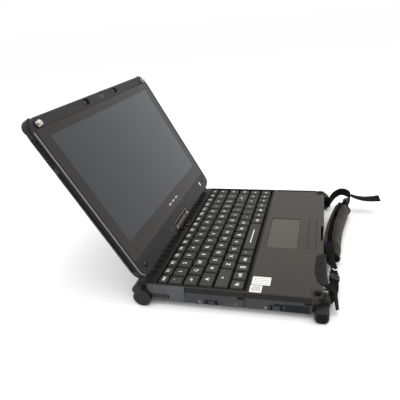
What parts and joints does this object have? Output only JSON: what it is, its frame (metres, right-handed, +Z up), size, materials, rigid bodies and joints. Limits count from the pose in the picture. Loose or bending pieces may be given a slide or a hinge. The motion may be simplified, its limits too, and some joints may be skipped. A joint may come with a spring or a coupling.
{
  "type": "convertible laptop computer",
  "caption": "Rugged convertible laptop: lid on a central swivel-and-tilt hinge, rubber corner bumpers, slide-out side bays and a padded hand strap along the front edge.",
  "frame": {"origin": "middle of the case's flat underside", "axes": "+X to the user's right, +Y to the rear where the hinge is, +Z up out of the deck"},
  "size_m": [0.303, 0.3972, 0.2264],
  "materials": {
    "case_black": "moulded black plastic, fine grain",
    "deck_grey": "warm dark grey satin deck",
    "vent_grey": "mid grey painted panel",
    "rubber": "matte black rubber",
    "key_plastic": "fine-grained key caps",
    "display_glass": "dark glossy cover glass",
    "lcd": "unlit display panel",
    "lens": "dark camera lens",
    "steel": "bright machined steel",
    "hinge_metal": "brown-grey anodised barrel",
    "copper": "copper fins and pipe",
    "circuit_board": "green board",
    "battery": "sealed pack",
    "webbing": "black woven webbing",
    "strap_leather": "dark grey padded wrap"
  },
  "bodies": {
    "base": {"bottom_case": "case_black", "top_cover": "deck_grey", "latch_socket_left": "rubber", "latch_socket_right": "rubber", "vent_panel": "vent_grey", "mainboard": "circuit_board", "heat_sink": "copper", "heat_pipe": "copper", "fan_housing": "case_black", "speaker": "case_black", "keyboard_tray": "case_black", "touchpad": "deck_grey", "bumper_front_left": "rubber", "bumper_front_right": "rubber", "bumper_rear_left": "rubber", "bumper_rear_right": "rubber", "hinge_bearing": "steel", "strap_pad": "strap_leather", "strap_webbing_left": "webbing", "strap_webbing_right": "webbing", "strap_tail_left": "webbing", "strap_tail_right": "webbing", "strap_flap": "webbing", "strap_buckle": "case_black", "strap_loop_left": "steel", "strap_loop_right": "steel"},
    "turret": {"hinge_turret": "hinge_metal"},
    "lid": {"lid_back_shell": "case_black", "lid_bezel": "case_black", "display_glass": "display_glass", "lcd_panel": "lcd", "latch_post_left": "steel", "latch_post_right": "steel", "camera_lens_left": "lens", "camera_lens_right": "lens", "lid_bumper_left": "rubber", "lid_bumper_right": "rubber", "hinge_pin": "steel"},
    "function_keys": {"key_row_1": "key_plastic"},
    "number_keys": {"key_row_2": "key_plastic"},
    "upper_letter_keys": {"key_row_3": "key_plastic"},
    "home_keys": {"key_row_4": "key_plastic"},
    "lower_letter_keys": {"key_row_5": "key_plastic"},
    "bottom_keys_left": {"key_row_6_left": "key_plastic"},
    "bottom_keys_right": {"key_row_6_right": "key_plastic"},
    "space_key": {"space_bar": "key_plastic"},
    "pad_button_left": {"touchpad_button_left": "deck_grey"},
    "pad_button_right": {"touchpad_button_right": "deck_grey"},
    "battery_left": {"battery_pack_left": "battery", "battery_door_left": "case_black"},
    "battery_lock_left": {"battery_latch_left": "case_black"},
    "battery_right": {"battery_pack_right": "battery", "battery_door_right": "case_black"},
    "battery_lock_right": {"battery_latch_right": "case_black"},
    "drive": {"storage_drive": "battery", "drive_door": "case_black"},
    "drive_lock": {"drive_latch": "case_black"},
    "card_flap": {"card_door": "case_black"},
    "port_flap": {"port_cover": "case_black"},
    "fan": {"fan_rotor": "case_black"}
  },
  "joints": [
    {"name": "swivel", "type": "hinge", "parent": "base", "child": "turret", "pos_m": [0, 0.1, 0.0215], "axis": [0, 0, 1], "range_deg": [0, 180]},
    {"name": "lid_tilt", "type": "hinge", "parent": "turret", "child": "lid", "pos_m": [0, 0.1, 0.0296], "axis": [-1, 0, 0], "range_deg": [-117.4, 62.6]},
    {"name": "function_keys_press", "type": "slide", "parent": "base", "child": "function_keys", "axis": [0, 0, -1], "range_m": [0, 0.002], "stiffness_N_per_m": 300, "springref_m": -0.002},
    {"name": "number_keys_press", "type": "slide", "parent": "base", "child": "number_keys", "axis": [0, 0, -1], "range_m": [0, 0.002], "stiffness_N_per_m": 300, "springref_m": -0.002},
    {"name": "upper_letter_keys_press", "type": "slide", "parent": "base", "child": "upper_letter_keys", "axis": [0, 0, -1], "range_m": [0, 0.002], "stiffness_N_per_m": 300, "springref_m": -0.002},
    {"name": "home_keys_press", "type": "slide", "parent": "base", "child": "home_keys", "axis": [0, 0, -1], "range_m": [0, 0.002], "stiffness_N_per_m": 300, "springref_m": -0.002},
    {"name": "lower_letter_keys_press", "type": "slide", "parent": "base", "child": "lower_letter_keys", "axis": [0, 0, -1], "range_m": [0, 0.002], "stiffness_N_per_m": 300, "springref_m": -0.002},
    {"name": "bottom_keys_left_press", "type": "slide", "parent": "base", "child": "bottom_keys_left", "axis": [0, 0, -1], "range_m": [0, 0.002], "stiffness_N_per_m": 300, "springref_m": -0.002},
    {"name": "bottom_keys_right_press", "type": "slide", "parent": "base", "child": "bottom_keys_right", "axis": [0, 0, -1], "range_m": [0, 0.002], "stiffness_N_per_m": 300, "springref_m": -0.002},
    {"name": "space_key_press", "type": "slide", "parent": "base", "child": "space_key", "axis": [0, 0, -1], "range_m": [0, 0.002], "stiffness_N_per_m": 300, "springref_m": -0.002},
    {"name": "pad_button_left_press", "type": "slide", "parent": "base", "child": "pad_button_left", "axis": [0, 0, -1], "range_m": [0, 0.0008], "stiffness_N_per_m": 800, "springref_m": -0.0008},
    {"name": "pad_button_right_press", "type": "slide", "parent": "base", "child": "pad_button_right", "axis": [0, 0, -1], "range_m": [0, 0.0008], "stiffness_N_per_m": 800, "springref_m": -0.0008},
    {"name": "battery_left_slide", "type": "slide", "parent": "base", "child": "battery_left", "axis": [-1, 0, 0], "range_m": [0, 0.083]},
    {"name": "battery_lock_left_slide", "type": "slide", "parent": "battery_left", "child": "battery_lock_left", "axis": [0, 1, 0], "range_m": [0, 0.004]},
    {"name": "battery_right_slide", "type": "slide", "parent": "base", "child": "battery_right", "axis": [1, 0, 0], "range_m": [0, 0.083]},
    {"name": "battery_lock_right_slide", "type": "slide", "parent": "battery_right", "child": "battery_lock_right", "axis": [0, 1, 0], "range_m": [0, 0.004]},
    {"name": "drive_slide", "type": "slide", "parent": "base", "child": "drive", "axis": [-1, 0, 0], "range_m": [0, 0.083]},
    {"name": "drive_lock_slide", "type": "slide", "parent": "drive", "child": "drive_lock", "axis": [0, 1, 0], "range_m": [0, 0.004]},
    {"name": "card_flap_hinge", "type": "hinge", "parent": "base", "child": "card_flap", "pos_m": [0.1444, -0.004, 0.0008], "axis": [0, 1, 0], "range_deg": [0, 95]},
    {"name": "port_flap_hinge", "type": "hinge", "parent": "base", "child": "port_flap", "pos_m": [0.1444, 0.0576, 0.0008], "axis": [0, 1, 0], "range_deg": [0, 95]},
    {"name": "fan_spin", "type": "hinge", "parent": "base", "child": "fan", "pos_m": [-0.105, 0.072, 0.0075], "axis": [0, 0, 1], "continuous": true}
  ]
}
